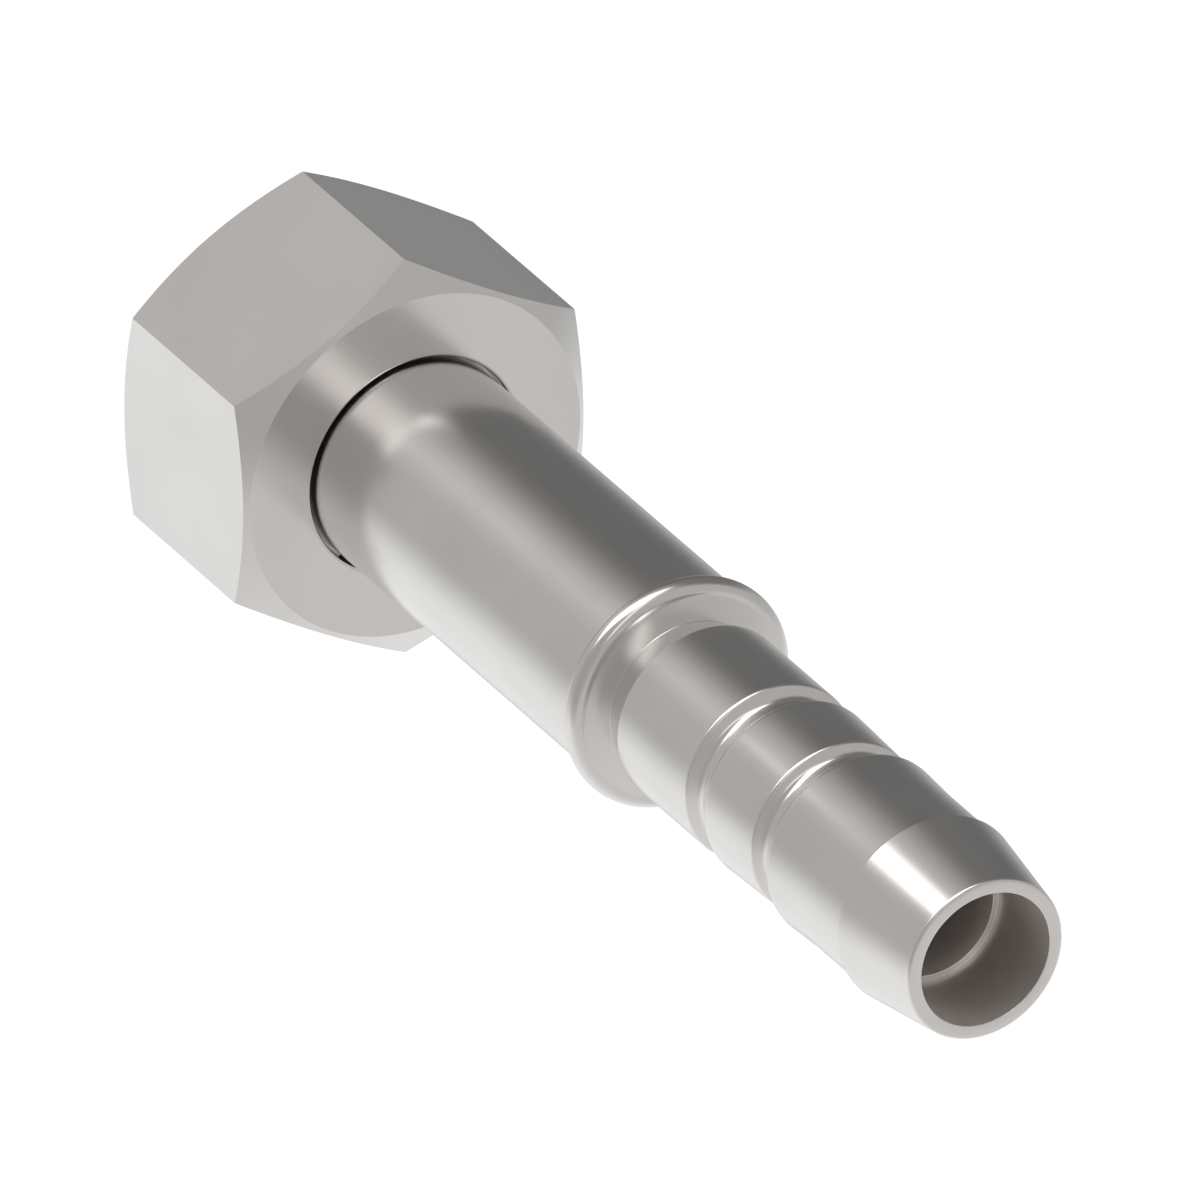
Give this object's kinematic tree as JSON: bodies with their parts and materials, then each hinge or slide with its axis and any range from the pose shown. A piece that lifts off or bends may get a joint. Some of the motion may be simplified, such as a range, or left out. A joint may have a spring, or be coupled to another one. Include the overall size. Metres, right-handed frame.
{
  "type": "hydraulic hose fitting",
  "caption": "Straight hydraulic hose fitting with a swivelling hexagon nut, sealing cone, plain neck, rounded collar and barbed hose tail.",
  "frame": {"origin": "centre of the nut's mouth face, on which the fitting stands", "axes": "+Z along the fitting's axis towards the end that enters the hose; two opposite corners of the hexagon point along +Y and -Y"},
  "size_m": [0.027, 0.0312, 0.0947],
  "materials": {
    "stem_steel": "fine-turned stainless steel, bright satin",
    "nut_steel": "milled flats and turned faces in stainless steel, bright satin",
    "wire_steel": "drawn spring wire",
    "seal_rubber": "moulded matt rubber"
  },
  "bodies": {
    "stem": {"hose_stem": "stem_steel", "o_ring": "seal_rubber"},
    "nut": {"swivel_nut": "nut_steel", "thrust_wire": "wire_steel"}
  },
  "joints": [
    {"name": "nut_swivel", "type": "hinge", "parent": "stem", "child": "nut", "pos_m": [0, 0, 0.0147], "axis": [0, 0, 1], "continuous": true}
  ]
}
